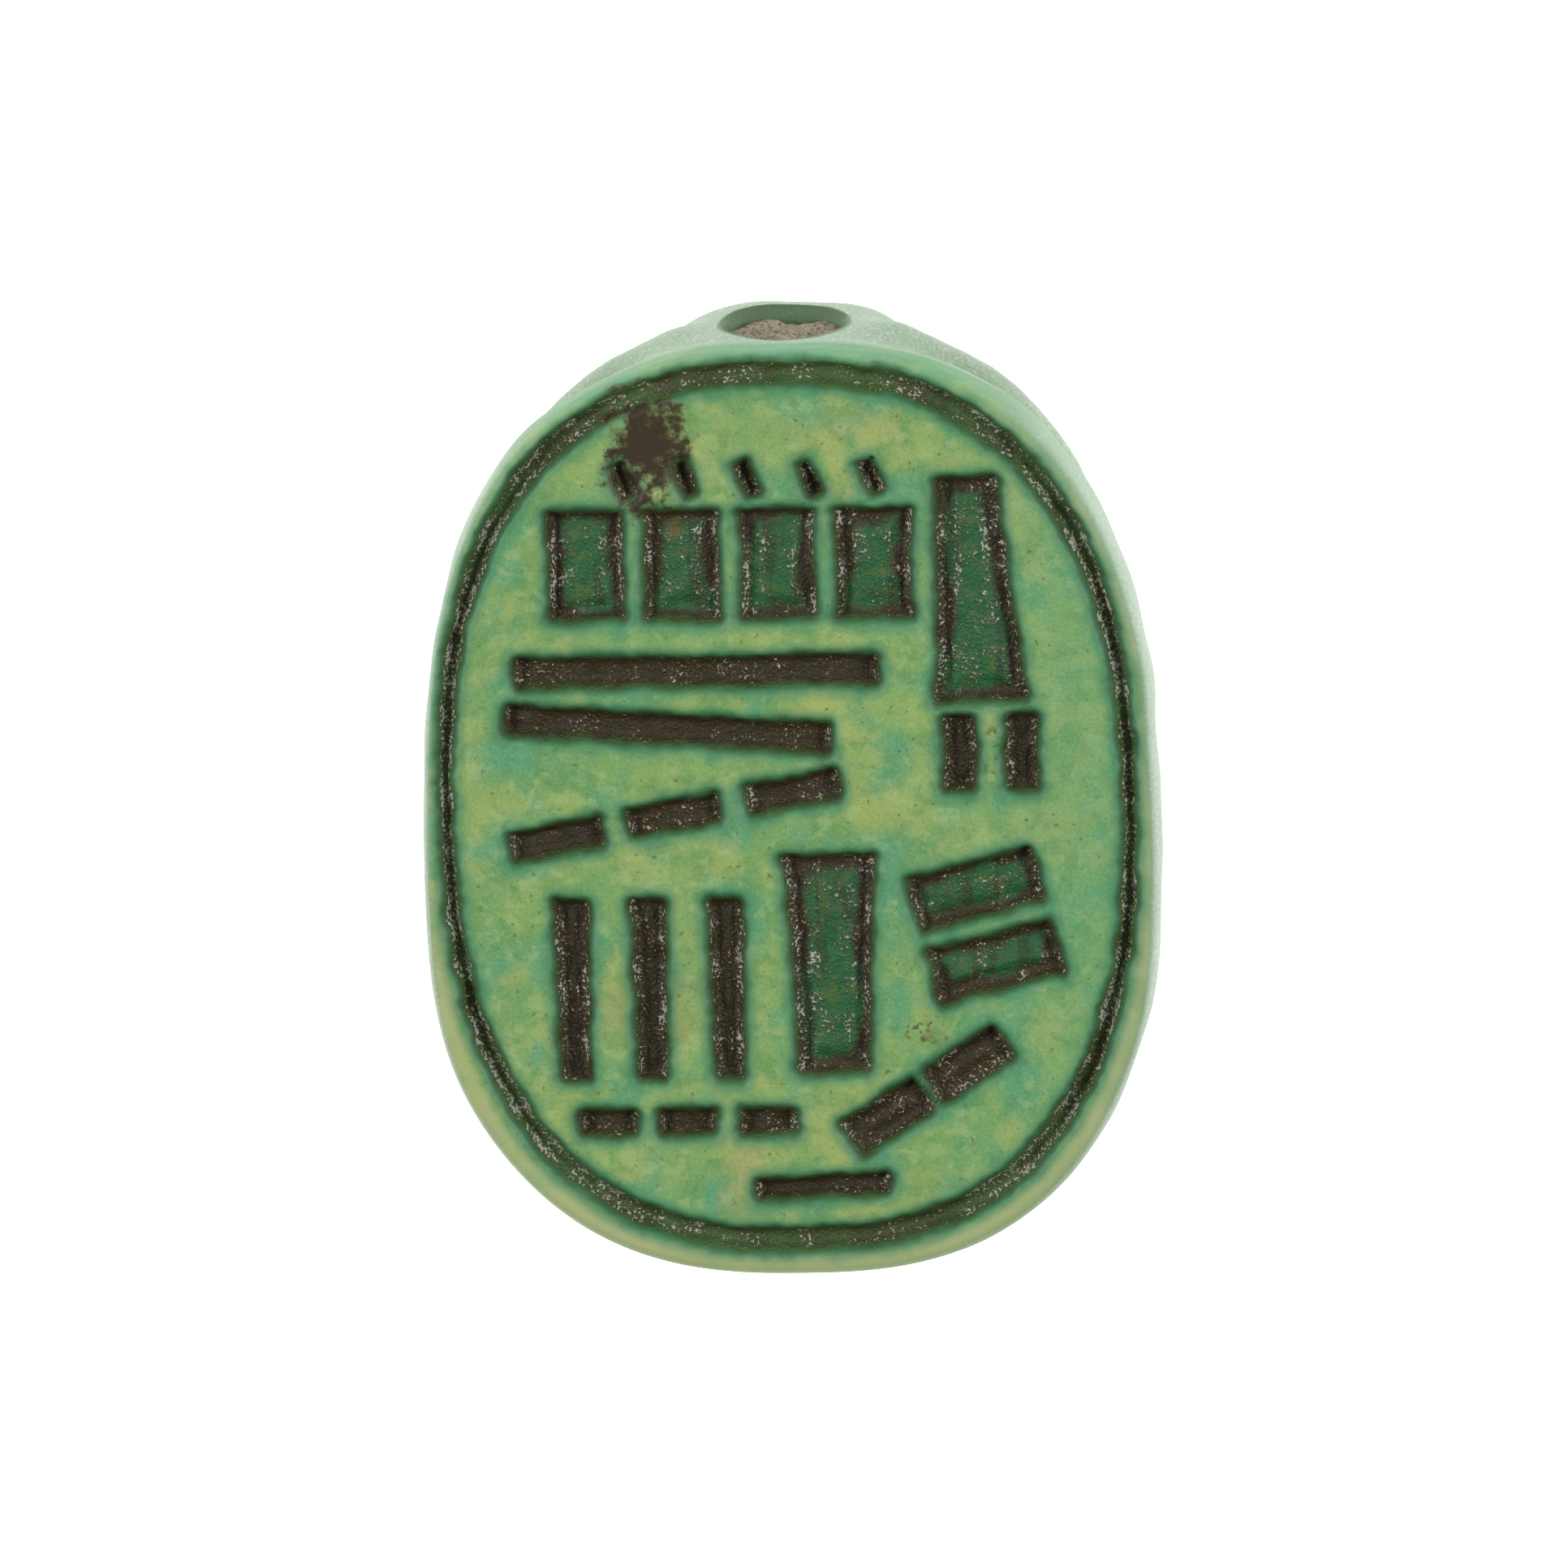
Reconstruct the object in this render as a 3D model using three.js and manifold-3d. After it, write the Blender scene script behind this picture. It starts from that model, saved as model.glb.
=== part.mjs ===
// A scarab seal of glazed steatite: a beetle carved in one with an oval plate, and drilled
// lengthwise for a cord. It lies on its back, with the engraved seal face up.
// Millimetres. X runs across the seal, +Y towards the beetle's head, +Z out of the seal face.
// The origin is under the middle of the seal, at the flat worn spot that it lies on.
import * as THREE from "three";
import { mergeVertices, toCreasedNormals } from "three/addons/utils/BufferGeometryUtils.js";
import Module from "manifold-3d";

const wasm = await Module();
wasm.setup();

// ---- Driving dimensions ----
const SEAL_LENGTH = 15.4; // of the plate, tail to head
const SEAL_WIDTH = 11.86;
const HEIGHT = 6.9; // from the worn spot on the back to the seal face
const WORN_OFF = 0.12; // how much of the back's crown the worn spot has lost
const OUTLINE_POWER = 2.55; // of the seal's superellipse: 2 is an ellipse
const SIDES = 96; // corners round each outline

// Heights below are given as depths, counted down from the seal face.
const PLATE_DEPTH = 1.4; // thickness of the oval plate
const SHELL_DEPTH = 3.0; // where the wing cases' lower edge begins
const PLATE = {
  halfWidth: SEAL_WIDTH / 2,
  front: SEAL_LENGTH / 2,
  tail: -SEAL_LENGTH / 2,
  egg: 0.035, // how much fuller its tail end is than its head end
};
const PLATE_SIDE = [ // how far each level lies in from the widest outline
  { depth: 0, inset: 0.16 },
  { depth: 0.05, inset: 0.09 },
  { depth: 0.2, inset: 0.04 },
  { depth: 0.75, inset: 0 },
  { depth: PLATE_DEPTH - 0.2, inset: 0.03 },
  { depth: PLATE_DEPTH, inset: 0.2 },
];
const WAIST = { halfWidth: 4.9, front: 6.6, tail: -7.0 }; // the belly between plate and shell
const SHELL = { halfWidth: 5.35, front: 6.1, tail: -7.3 }; // pronotum and wing cases
const SHELL_POWER = 2.4; // how flat the crown of the shell is
const SHELL_EDGE = 0.6; // how round its shoulders are

// The head grows out of the plate and stands flush with it, then rounds off.
const HEAD_TAIL = 2.9; // inside the shell
const HEAD_LEVELS = [
  { depth: 0.7, halfWidth: 3.1, front: 7.46 },
  { depth: 1.4, halfWidth: 2.85, front: 7.62 },
  { depth: 1.9, halfWidth: 2.55, front: 7.68 },
  { depth: 2.7, halfWidth: 2.45, front: 7.7 },
  { depth: 3.6, halfWidth: 2.4, front: 7.7 },
  { depth: 4.15, halfWidth: 2.2, front: 7.58 },
  { depth: 4.55, halfWidth: 1.85, front: 7.2 },
  { depth: 4.75, halfWidth: 1.3, front: 6.65 },
];

const BORE_DEPTH = 2.15; // the cord hole's axis
const BORE_RADIUS = 0.85;
const MOUTH_RADIUS = 1.15; // the hole's worn mouths
const MOUTH_LENGTH = 0.8;

const CUT_DEPTH = 0.3; // of the engraving
const CUT_RUN = 0.07; // how far each engraved wall leans
const CLEAR = 0.4; // how far a cutter stands out of the face it cuts

// The border groove follows the seal's edge, and is wider at the ends than at the sides.
const BORDER = { halfWidth: 5.52, front: 7.23, tail: -7.07 };
const BORDER_POWER = 2.45;
const BORDER_WIDTH = { side: 0.3, end: 0.46 };

// ---- Helpers ----
const lerp = THREE.MathUtils.lerp;
const degrees = THREE.MathUtils.degToRad;
const seal = (x, y, depth) => new THREE.Vector3(x, y, HEIGHT - depth);

// A closed superellipse of SIDES points, as [x, y], moved inwards by inset.
function outline({ halfWidth, front, tail, egg = 0 }, inset = 0, power = OUTLINE_POWER) {
  const middle = (front + tail) / 2;
  const halfLength = (front - tail) / 2;
  return Array.from({ length: SIDES }, (_, i) => {
    const angle = (2 * Math.PI * i) / SIDES;
    const [cos, sin] = [Math.cos(angle), Math.sin(angle)];
    const across = Math.abs(cos) / halfWidth;
    const along = Math.abs(sin) / halfLength;
    const even = (across ** power + along ** power) ** (-1 / power);
    const radius = even * (1 - egg * sin * cos * cos) - inset;
    return [radius * cos, middle + radius * sin];
  });
}

// A geometry from corner points and triangles of their indices.
function geometryOf(points, triangles) {
  const geometry = new THREE.BufferGeometry().setFromPoints(points);
  geometry.setIndex(triangles.flat());
  return geometry;
}

// A three.js geometry as a manifold-3d solid.
function solid(geometry) {
  const bare = new THREE.BufferGeometry();
  bare.setAttribute("position", geometry.getAttribute("position"));
  bare.setIndex(geometry.index);
  const merged = mergeVertices(bare, 1e-4);
  return new wasm.Manifold(
    new wasm.Mesh({
      numProp: 3,
      vertProperties: new Float32Array(merged.attributes.position.array),
      triVerts: new Uint32Array(merged.index.array),
    }),
  );
}

// A solid through rings of SIDES points each, from the seal face down, flat at both ends.
function loft(rings) {
  const points = rings.flat();
  const triangles = [];
  for (let ring = 0; ring + 1 < rings.length; ring++) {
    for (let i = 0; i < SIDES; i++) {
      const next = (i + 1) % SIDES;
      const [a, b] = [ring * SIDES + i, ring * SIDES + next];
      triangles.push([a, a + SIDES, b], [b, a + SIDES, b + SIDES]);
    }
  }
  const last = (rings.length - 1) * SIDES;
  for (let i = 1; i + 1 < SIDES; i++) {
    triangles.push([0, i, i + 1], [last, last + i + 1, last + i]);
  }
  return solid(geometryOf(points, triangles));
}

const ringAt = (depth, shape, inset = 0) =>
  outline(shape, inset).map(([x, y]) => seal(x, y, depth));

// A tube of few sides along points, such as a leg or the cutter of a line.
function tube(points, radius, sides) {
  const section = new THREE.Shape(
    Array.from({ length: sides }, (_, i) => {
      const angle = (2 * Math.PI * (i + 0.5)) / sides;
      return new THREE.Vector2(radius * Math.cos(angle), radius * Math.sin(angle));
    }),
  );
  const extrudePath = new THREE.CatmullRomCurve3(points);
  const steps = points.length * 2;
  return solid(new THREE.ExtrudeGeometry(section, { steps, extrudePath, bevelEnabled: false }));
}

// ---- The beetle and its plate ----

// The shell's share of its full height at a share of its outline, 1 at the rim and 0 at the crown.
const shellRise = (share) => (1 - share ** SHELL_POWER) ** SHELL_EDGE;

function shellDepth(x, y) {
  const along = Math.abs((2 * y - SHELL.front - SHELL.tail) / (SHELL.front - SHELL.tail));
  const across = Math.abs(x) / SHELL.halfWidth;
  const share = (across ** OUTLINE_POWER + along ** OUTLINE_POWER) ** (1 / OUTLINE_POWER);
  return lerp(SHELL_DEPTH, HEIGHT + WORN_OFF, shellRise(Math.min(share, 1)));
}

function plateAndBelly() {
  return loft([
    ...PLATE_SIDE.map(({ depth, inset }) => ringAt(depth, PLATE, inset)),
    ringAt(PLATE_DEPTH + 0.15, WAIST),
    ringAt(SHELL_DEPTH + 0.2, WAIST),
  ]);
}

function shell() {
  const scaled = (share) => {
    const middle = (SHELL.front + SHELL.tail) / 2;
    return {
      halfWidth: SHELL.halfWidth * share,
      front: lerp(middle, SHELL.front, share),
      tail: lerp(middle, SHELL.tail, share),
    };
  };
  const rings = [ringAt(SHELL_DEPTH - 0.25, WAIST, 0.1)];
  const steps = 11;
  for (let i = 0; i < steps; i++) {
    const share = Math.cos(((i / steps) * Math.PI) / 2);
    const depth = lerp(SHELL_DEPTH, HEIGHT + WORN_OFF, shellRise(share));
    rings.push(ringAt(depth, scaled(share)));
  }
  return loft(rings);
}

function head() {
  return loft(
    HEAD_LEVELS.map(({ depth, ...shape }) => ringAt(depth, { ...shape, tail: HEAD_TAIL })),
  );
}

// A point just inside the belly's wall, at an angle from +X, mirrored to the left for side -1.
function onBelly(side, angle, depth) {
  const across = Math.abs(Math.cos(angle)) / WAIST.halfWidth;
  const along = (2 * Math.abs(Math.sin(angle))) / (WAIST.front - WAIST.tail);
  const radius = (across ** OUTLINE_POWER + along ** OUTLINE_POWER) ** (-1 / OUTLINE_POWER);
  const inner = radius - LEG_SUNK;
  return seal(side * inner * Math.cos(angle), inner * Math.sin(angle), depth);
}

// Each leg leaves the body under the shell and reaches the plate: the angles where it does.
const LEGS = [
  { shoulder: 40, foot: 68 },
  { shoulder: 30, foot: -20 },
  { shoulder: -12, foot: -62 },
];
const LEG_RADIUS = 0.62;
const LEG_SUNK = 0.2; // how far a leg's middle lies inside the belly's wall

function legs() {
  const steps = 5;
  return [-1, 1].flatMap((side) =>
    LEGS.map(({ shoulder, foot }) => {
      const points = Array.from({ length: steps + 1 }, (_, i) => {
        const angle = degrees(lerp(shoulder, foot, i / steps));
        return onBelly(side, angle, lerp(SHELL_DEPTH + 0.35, PLATE_DEPTH, i / steps));
      });
      return tube(points, LEG_RADIUS, 8);
    }),
  );
}

// ---- What is cut away ----

// The drilled hole for the cord, with its two worn mouths.
function bore() {
  const part = (near, far, length, y) => {
    const geometry = new THREE.CylinderGeometry(near, far, length, 24);
    return solid(geometry.translate(0, y, HEIGHT - BORE_DEPTH));
  };
  // CylinderGeometry stands along Y, its first radius at the higher Y.
  const headMouth = PLATE.front - MOUTH_LENGTH / 2;
  const tailMouth = WAIST.tail + MOUTH_LENGTH / 2;
  const flare = (MOUTH_RADIUS - BORE_RADIUS) / MOUTH_LENGTH;
  const reach = MOUTH_LENGTH + 2 * CLEAR;
  const wide = MOUTH_RADIUS + flare * CLEAR;
  const narrow = BORE_RADIUS - flare * CLEAR;
  return [
    part(BORE_RADIUS, BORE_RADIUS, SEAL_LENGTH + 2 * CLEAR, 0),
    part(wide, narrow, reach, headMouth),
    part(narrow, wide, reach, tailMouth),
  ];
}

// The lines that part the pronotum from the wing cases, and the wing cases from each other.
const PRONOTUM_LINE = { middle: 1.7, ends: 2.5, halfWidth: 5.0 };
const LINE_RADIUS = 0.17;

function backLines() {
  const steps = 14;
  const pronotum = Array.from({ length: steps + 1 }, (_, i) => {
    const share = lerp(-1, 1, i / steps);
    const x = PRONOTUM_LINE.halfWidth * Math.sin((share * Math.PI) / 2);
    const y = lerp(PRONOTUM_LINE.middle, PRONOTUM_LINE.ends, share * share);
    return seal(x, y, Math.min(shellDepth(x, y), HEIGHT + WORN_OFF / 2));
  });
  const middle = Array.from({ length: steps + 1 }, (_, i) => {
    const y = lerp(PRONOTUM_LINE.middle, SHELL.tail + 0.05, Math.sin(((i / steps) * Math.PI) / 2));
    return seal(0, y, Math.min(shellDepth(0, y), HEIGHT + WORN_OFF / 2));
  });
  return [tube(pronotum, LINE_RADIUS, 4), tube(middle, LINE_RADIUS, 4)];
}

// All below the resting plane: what wear has taken off the crown of the back.
function wornOff() {
  const block = new THREE.BoxGeometry(SEAL_WIDTH, SEAL_LENGTH, 1);
  return solid(block.translate(0, 0, -0.5));
}

// The groove round the seal face, as a closed ring with leaning walls.
function borderGroove() {
  const lean = (CUT_RUN * CLEAR) / CUT_DEPTH;
  const section = [
    { side: 1, out: lean, depth: -CLEAR },
    { side: 1, out: -CUT_RUN, depth: CUT_DEPTH },
    { side: -1, out: -CUT_RUN, depth: CUT_DEPTH },
    { side: -1, out: lean, depth: -CLEAR },
  ];
  const middle = outline(BORDER, 0, BORDER_POWER);
  const points = middle.flatMap(([x, y]) => {
    const radius = Math.hypot(x, y);
    const width = lerp(BORDER_WIDTH.side, BORDER_WIDTH.end, Math.abs(y) / radius);
    return section.map(({ side, out, depth }) => {
      const scale = 1 + (side * (width / 2 + out)) / radius;
      return seal(x * scale, y * scale, depth);
    });
  });
  const corners = section.length;
  const triangles = middle.flatMap((_, i) => {
    const [here, there] = [i * corners, ((i + 1) % SIDES) * corners];
    return section.flatMap((__, j) => {
      const k = (j + 1) % corners;
      return [
        [here + j, here + k, there + j],
        [there + j, here + k, there + k],
      ];
    });
  });
  return solid(geometryOf(points, triangles));
}

// One chisel stroke: a trough with leaning walls, its width going from width at its start to end.
function stroke({ x, y, length, width, end = width, angle = 0 }) {
  const turn = degrees(angle);
  const levels = [
    { depth: -CLEAR, out: (CUT_RUN * CLEAR) / CUT_DEPTH },
    { depth: CUT_DEPTH, out: -CUT_RUN },
  ];
  const points = levels.flatMap(({ depth, out }) =>
    [
      [-length / 2 - out, -width / 2 - out],
      [length / 2 + out, -end / 2 - out],
      [length / 2 + out, end / 2 + out],
      [-length / 2 - out, width / 2 + out],
    ].map(([along, across]) =>
      seal(
        x + along * Math.cos(turn) - across * Math.sin(turn),
        y + along * Math.sin(turn) + across * Math.cos(turn),
        depth,
      ),
    ),
  );
  const faces = [0, 1, 2, 3].flatMap((i) => {
    const next = (i + 1) % 4;
    return [
      [i, i + 4, next],
      [next, i + 4, next + 4],
    ];
  });
  faces.push([0, 1, 2], [0, 2, 3], [4, 6, 5], [4, 7, 6]);
  return solid(geometryOf(points, faces));
}

// Strokes of one kind, evenly spaced from the first place to the last.
function row({ count, from, to = from, ...shape }) {
  return Array.from({ length: count }, (_, i) => {
    const share = count > 1 ? i / (count - 1) : 0;
    return { x: lerp(from[0], to[0], share), y: lerp(from[1], to[1], share), ...shape };
  });
}

// The seal's device: rows of plain strokes. An upright stroke has an angle of -90.
const STROKE_ROWS = [
  { count: 5, from: [-2.5, 5.5], to: [1.5, 5.5], length: 0.6, width: 0.26, angle: -68 },
  { count: 4, from: [-3.14, 4.1], to: [1.5, 4.1], length: 1.8, width: 1.25, angle: -90 },
  { count: 1, from: [3.1, 3.65], length: 3.7, width: 1.0, end: 1.5, angle: -87 },
  { count: 2, from: [2.8, 0.95], to: [3.8, 0.95], length: 1.25, width: 0.55, angle: -90 },
  { count: 1, from: [-1.4, 2.35], length: 5.9, width: 0.5 },
  { count: 1, from: [-1.9, 1.4], length: 5.3, width: 0.5, angle: -4 },
  { count: 3, from: [-3.75, -0.4], to: [0.1, 0.35], length: 1.55, width: 0.5, angle: 11 },
  { count: 3, from: [-3.55, -2.9], to: [-1.05, -2.9], length: 3, width: 0.6, end: 0.48, angle: -90 },
  { count: 1, from: [0.65, -2.5], length: 3.6, width: 1.5, end: 1.15, angle: -90 },
  { count: 2, from: [3.0, -1.3], to: [3.3, -2.5], length: 2.1, width: 0.95, angle: 14 },
  { count: 2, from: [1.5, -5.05], to: [2.8, -4.2], length: 1.45, width: 0.7, angle: 33 },
  { count: 3, from: [-3.05, -5.1], to: [-0.45, -5.1], length: 0.95, width: 0.45 },
  { count: 1, from: [0.4, -6.2], length: 2.2, width: 0.36, angle: 3 },
];

// ---- The seal ----
function scarabSeal() {
  const carved = wasm.Manifold.union([plateAndBelly(), shell(), head(), ...legs()]);
  const cuts = [
    ...bore(),
    ...backLines(),
    wornOff(),
    borderGroove(),
    ...STROKE_ROWS.flatMap(row).map(stroke),
  ];
  const { vertProperties, triVerts } = carved.subtract(wasm.Manifold.union(cuts)).getMesh();
  const geometry = new THREE.BufferGeometry();
  geometry.setAttribute("position", new THREE.BufferAttribute(vertProperties, 3));
  geometry.setIndex(new THREE.BufferAttribute(triVerts, 1));
  const glaze = new THREE.MeshStandardMaterial({ color: 0x6f9c62, roughness: 0.35, metalness: 0 });
  const mesh = new THREE.Mesh(toCreasedNormals(geometry, degrees(25)), glaze);
  mesh.name = "scarab_seal";
  return mesh;
}

const part = new THREE.Group();
part.add(scarabSeal());

export default part;
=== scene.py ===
"""A scarab seal of glazed steatite, lying on its back with the engraved seal face up.

Sizes are in millimetres until a mesh is made. Heights are given as depths below the seal face.
"""

import math
from types import SimpleNamespace

import bpy
import numpy as np
from mathutils import Matrix, Vector


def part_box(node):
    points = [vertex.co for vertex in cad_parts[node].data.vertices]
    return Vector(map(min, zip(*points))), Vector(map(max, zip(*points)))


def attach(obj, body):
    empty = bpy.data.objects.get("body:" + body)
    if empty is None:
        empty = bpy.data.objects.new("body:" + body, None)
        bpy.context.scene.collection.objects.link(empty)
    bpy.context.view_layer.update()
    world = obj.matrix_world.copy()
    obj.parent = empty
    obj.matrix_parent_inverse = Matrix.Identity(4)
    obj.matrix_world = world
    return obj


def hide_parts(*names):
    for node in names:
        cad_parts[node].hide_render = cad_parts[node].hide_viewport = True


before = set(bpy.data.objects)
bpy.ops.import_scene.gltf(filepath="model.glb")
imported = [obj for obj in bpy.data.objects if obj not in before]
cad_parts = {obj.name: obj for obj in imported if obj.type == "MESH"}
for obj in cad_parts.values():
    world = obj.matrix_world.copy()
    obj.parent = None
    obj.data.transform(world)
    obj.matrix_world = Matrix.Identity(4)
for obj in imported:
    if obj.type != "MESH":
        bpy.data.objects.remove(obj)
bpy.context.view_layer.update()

MM = 0.001
LOW, HIGH = (np.array(corner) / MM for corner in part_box("scarab_seal"))
HEIGHT = HIGH[2]

# ---- Sizes ----
PLATE = {"half": (5.93, (HIGH[1] - LOW[1]) / 2), "middle": (0, 0), "egg": 0.035, "uneven": True}
UNEVEN = (  # where the plate's outline is fuller than its curve, or flatter: angle, spread, mm
    (90, 20, -0.17),
    (113, 9, -0.12),
    (33, 18, 0.09),
    (216, 14, 0.11),
    (330, 10, 0.05),
    (4, 20, 0.05),
    (21, 7, 0.05),
)
OUTLINE_POWER = 2.55  # of the superellipse: 2 is an ellipse
EDGE_REACH = 0.28  # how far in from the plate's side its rounded top edge starts
PLATE_BELLY = 0.75  # depth of the plate's widest place
PLATE_DEPTH = 1.4

WAIST = {"half": (4.9, 6.8), "middle": (0, -0.2)}  # the belly between plate and shell
SHELL = {"half": (5.35, 6.7), "middle": (0, -0.6)}
SHELL_DEPTH = 3.0  # where the wing cases' lower edge begins
SHELL_POWER = 2.4  # how flat the crown of the shell is
SHELL_EDGE = 0.6  # how round its shoulders are
WORN_OFF = 0.12  # what the resting spot has lost

HEAD_TAIL = 2.9  # where the head ends inside the shell
HEAD_POWER = 2.9
HEAD_LEVELS = {  # the head's half width and front, by depth
    "depth": (0.7, 1.4, 1.9, 2.7, 3.6, 4.15, 4.55, 4.75),
    "half_width": (3.1, 2.85, 2.55, 2.45, 2.4, 2.2, 1.85, 1.3),
    "front": (7.46, 7.6, 7.68, 7.73, 7.74, 7.62, 7.22, 6.66),
}
EYES = {"x": 2.05, "y": 6.0, "depth": 4.1, "radius": 0.5, "length": 1.3}
LEG_RADIUS = 0.62
LEG_SUNK = 0.2  # how far a leg's middle lies inside the belly's wall
LEG_STEPS = 13  # points along a leg's middle line
LEG_UNEVEN = 0.06  # how much further out the right legs reach than the middle of the two, as a share
LEGS = (  # the angles of each leg's shoulder and foot, the foot's depth, and how far out it is
    (34, 76, 2.3, 0.66),
    (30, -20, 1.4, 0),
    (-12, -62, 1.4, 0),
)
HATCH = {"depth": 0.006, "pitch": 0.42}  # the fine cuts across the back legs
BACK_LINE = {"depth": 0.14, "reach": 0.15, "floor": 0.02}  # the reach is half its width
NICK = {"depth": 0.16, "reach": 0.2, "floor": 0.03, "from": (4.5, 2.2), "to": (3.75, 0.7)}
PRONOTUM_TAIL = (1.7, 2.5)  # its y at the middle and at the sides

BORE_DEPTH = 2.2  # the cord hole's axis
BORE_RADIUS = 0.85
MOUTH_LENGTH = 0.8
MOUTH_FLARE = 0.32

CUT_DEPTH = 0.3  # of the engraving
BORDER = {"half": (5.52, 7.15), "middle": (0, 0.08)}
BORDER_POWER = 2.45
BORDER_WIDTH = (0.17, 0.34)  # at the sides and at the ends

# The seal's device: rows of plain strokes. An upright stroke has an angle of -90.
STROKE_ROWS = (
    {"count": 5, "from": (-2.5, 5.5), "to": (1.5, 5.5), "length": 0.6, "width": 0.26, "angle": -68},
    {"count": 4, "from": (-3.14, 4.1), "to": (1.5, 4.1), "length": 1.8, "width": 1.25, "angle": -90},
    {"count": 1, "from": (3.1, 3.65), "length": 3.7, "width": 1.0, "end": 1.5, "angle": -87},
    {"count": 2, "from": (2.8, 0.95), "to": (3.8, 0.95), "length": 1.25, "width": 0.55, "angle": -90},
    {"count": 1, "from": (-1.4, 2.35), "length": 5.9, "width": 0.5},
    {"count": 1, "from": (-1.9, 1.4), "length": 5.3, "width": 0.5, "angle": -4},
    {"count": 3, "from": (-3.75, -0.4), "to": (0.1, 0.35), "length": 1.55, "width": 0.5, "angle": 11},
    {"count": 3, "from": (-3.55, -2.9), "to": (-1.05, -2.9), "length": 3, "width": 0.6, "end": 0.48,
     "angle": -90},
    {"count": 1, "from": (0.65, -2.5), "length": 3.6, "width": 1.5, "end": 1.15, "angle": -90},
    {"count": 2, "from": (3.0, -1.3), "to": (3.3, -2.5), "length": 2.1, "width": 0.95, "angle": 14},
    {"count": 2, "from": (1.5, -5.05), "to": (2.8, -4.2), "length": 1.45, "width": 0.7, "angle": 33},
    {"count": 3, "from": (-3.05, -5.1), "to": (-0.45, -5.1), "length": 0.95, "width": 0.45},
    {"count": 1, "from": (0.4, -6.2), "length": 2.2, "width": 0.36, "angle": 3},
)

# Mesh fineness.
FACE_CELLS = 248  # along each side of the seal face's net
ROUND_CELLS = 496  # round the sides: the face's net has twice as many
BACK_CELLS = ROUND_CELLS // 4

# ---- Camera ----
LEAN_HEAD = 12.3  # degrees that the camera leans towards the head end
LEAN_RIGHT = 4.5
TURN = 1.6  # degrees that the seal is turned anticlockwise in view
CAMERA_DISTANCE = 300
FRAME_WIDTH = 25.26  # what the camera sees across at the seal face
AIM = (-0.05, 0.5)  # from the middle of the seal face, across and up the view


def make_camera():
    """A long lens that looks down on the seal face, leaning a little to the head end."""
    lean_right, lean_head = (math.tan(math.radians(lean)) for lean in (LEAN_RIGHT, LEAN_HEAD))
    back = Vector((lean_right, lean_head, 1)).normalized()
    view_up = Matrix.Rotation(math.radians(-TURN), 3, "Z") @ Vector((0, 1, 0))
    right = view_up.cross(back).normalized()
    up = back.cross(right)
    target = Vector((0, 0, HEIGHT)) + right * AIM[0] + up * AIM[1]
    camera = bpy.data.objects.new("camera", bpy.data.cameras.new("camera"))
    camera.data.sensor_width = 36
    camera.data.lens = camera.data.sensor_width * CAMERA_DISTANCE / FRAME_WIDTH
    turn = Matrix((right, up, back)).transposed().to_4x4()
    camera.matrix_world = Matrix.Translation((target + back * CAMERA_DISTANCE) * MM) @ turn
    bpy.context.collection.objects.link(camera)
    bpy.context.scene.camera = camera


make_camera()


# ---- Small helpers ----
def lerp(low, high, share):
    return low + (high - low) * share


def smooth(low, high, value):
    share = np.clip((value - low) / (high - low), 0, 1)
    return share * share * (3 - 2 * share)


def smooth_max(one, other, blend):
    """The greater of two, rounded where they are within blend of each other."""
    share = np.clip(0.5 + 0.5 * (one - other) / blend, 0, 1)
    return lerp(other, one, share) + blend * share * (1 - share)


def smooth_min(one, other, blend):
    return -smooth_max(-one, -other, blend)


def wobble(x, y, size, seed):
    """Smooth irregularity from -1 to 1, of about the given size, as hand work and wear leave it."""
    rng = np.random.default_rng(seed)
    total = np.zeros(np.broadcast(x, y).shape)
    waves = 9
    for _ in range(waves):
        turn = rng.uniform(0, 2 * math.pi)
        phase = rng.uniform(0, 2 * math.pi)
        pitch = 2 * math.pi / (size * rng.uniform(1.2, 3.0))
        total = total + np.sin((x * math.cos(turn) + y * math.sin(turn)) * pitch + phase)
    return total / math.sqrt(waves) / 1.5


def norm(x, y, shape, power=OUTLINE_POWER):
    """1 on a superellipse's outline, less inside it."""
    across = np.abs(x - shape["middle"][0]) / shape["half"][0]
    along = np.abs(y - shape["middle"][1]) / shape["half"][1]
    return (across ** power + along ** power) ** (1 / power)


def radius_at(angle, shape, power=OUTLINE_POWER):
    """How far a superellipse's outline is from its middle. An egg's is fuller at the tail end."""
    across = np.abs(np.cos(angle)) / shape["half"][0]
    along = np.abs(np.sin(angle)) / shape["half"][1]
    egg = shape.get("egg", 0) * np.sin(angle) * np.cos(angle) ** 2
    radius = (across ** power + along ** power) ** (-1 / power) * (1 - egg)
    for place, spread, out in UNEVEN if "uneven" in shape else ():
        off = (np.degrees(angle) - place + 180) % 360 - 180
        radius = radius + out * np.exp(-(off / spread) ** 2)
    return radius


# ---- The engraving ----
def strokes():
    """Every stroke of the rows: its middle, length, widths at start and end, and angle."""
    for row in STROKE_ROWS:
        first, last = row["from"], row.get("to", row["from"])
        for i in range(row["count"]):
            share = i / max(row["count"] - 1, 1)
            yield {
                "x": lerp(first[0], last[0], share),
                "y": lerp(first[1], last[1], share),
                "length": row["length"],
                "width": row["width"],
                "end": row.get("end", row["width"]),
                "angle": math.radians(row.get("angle", 0)),
            }


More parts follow.
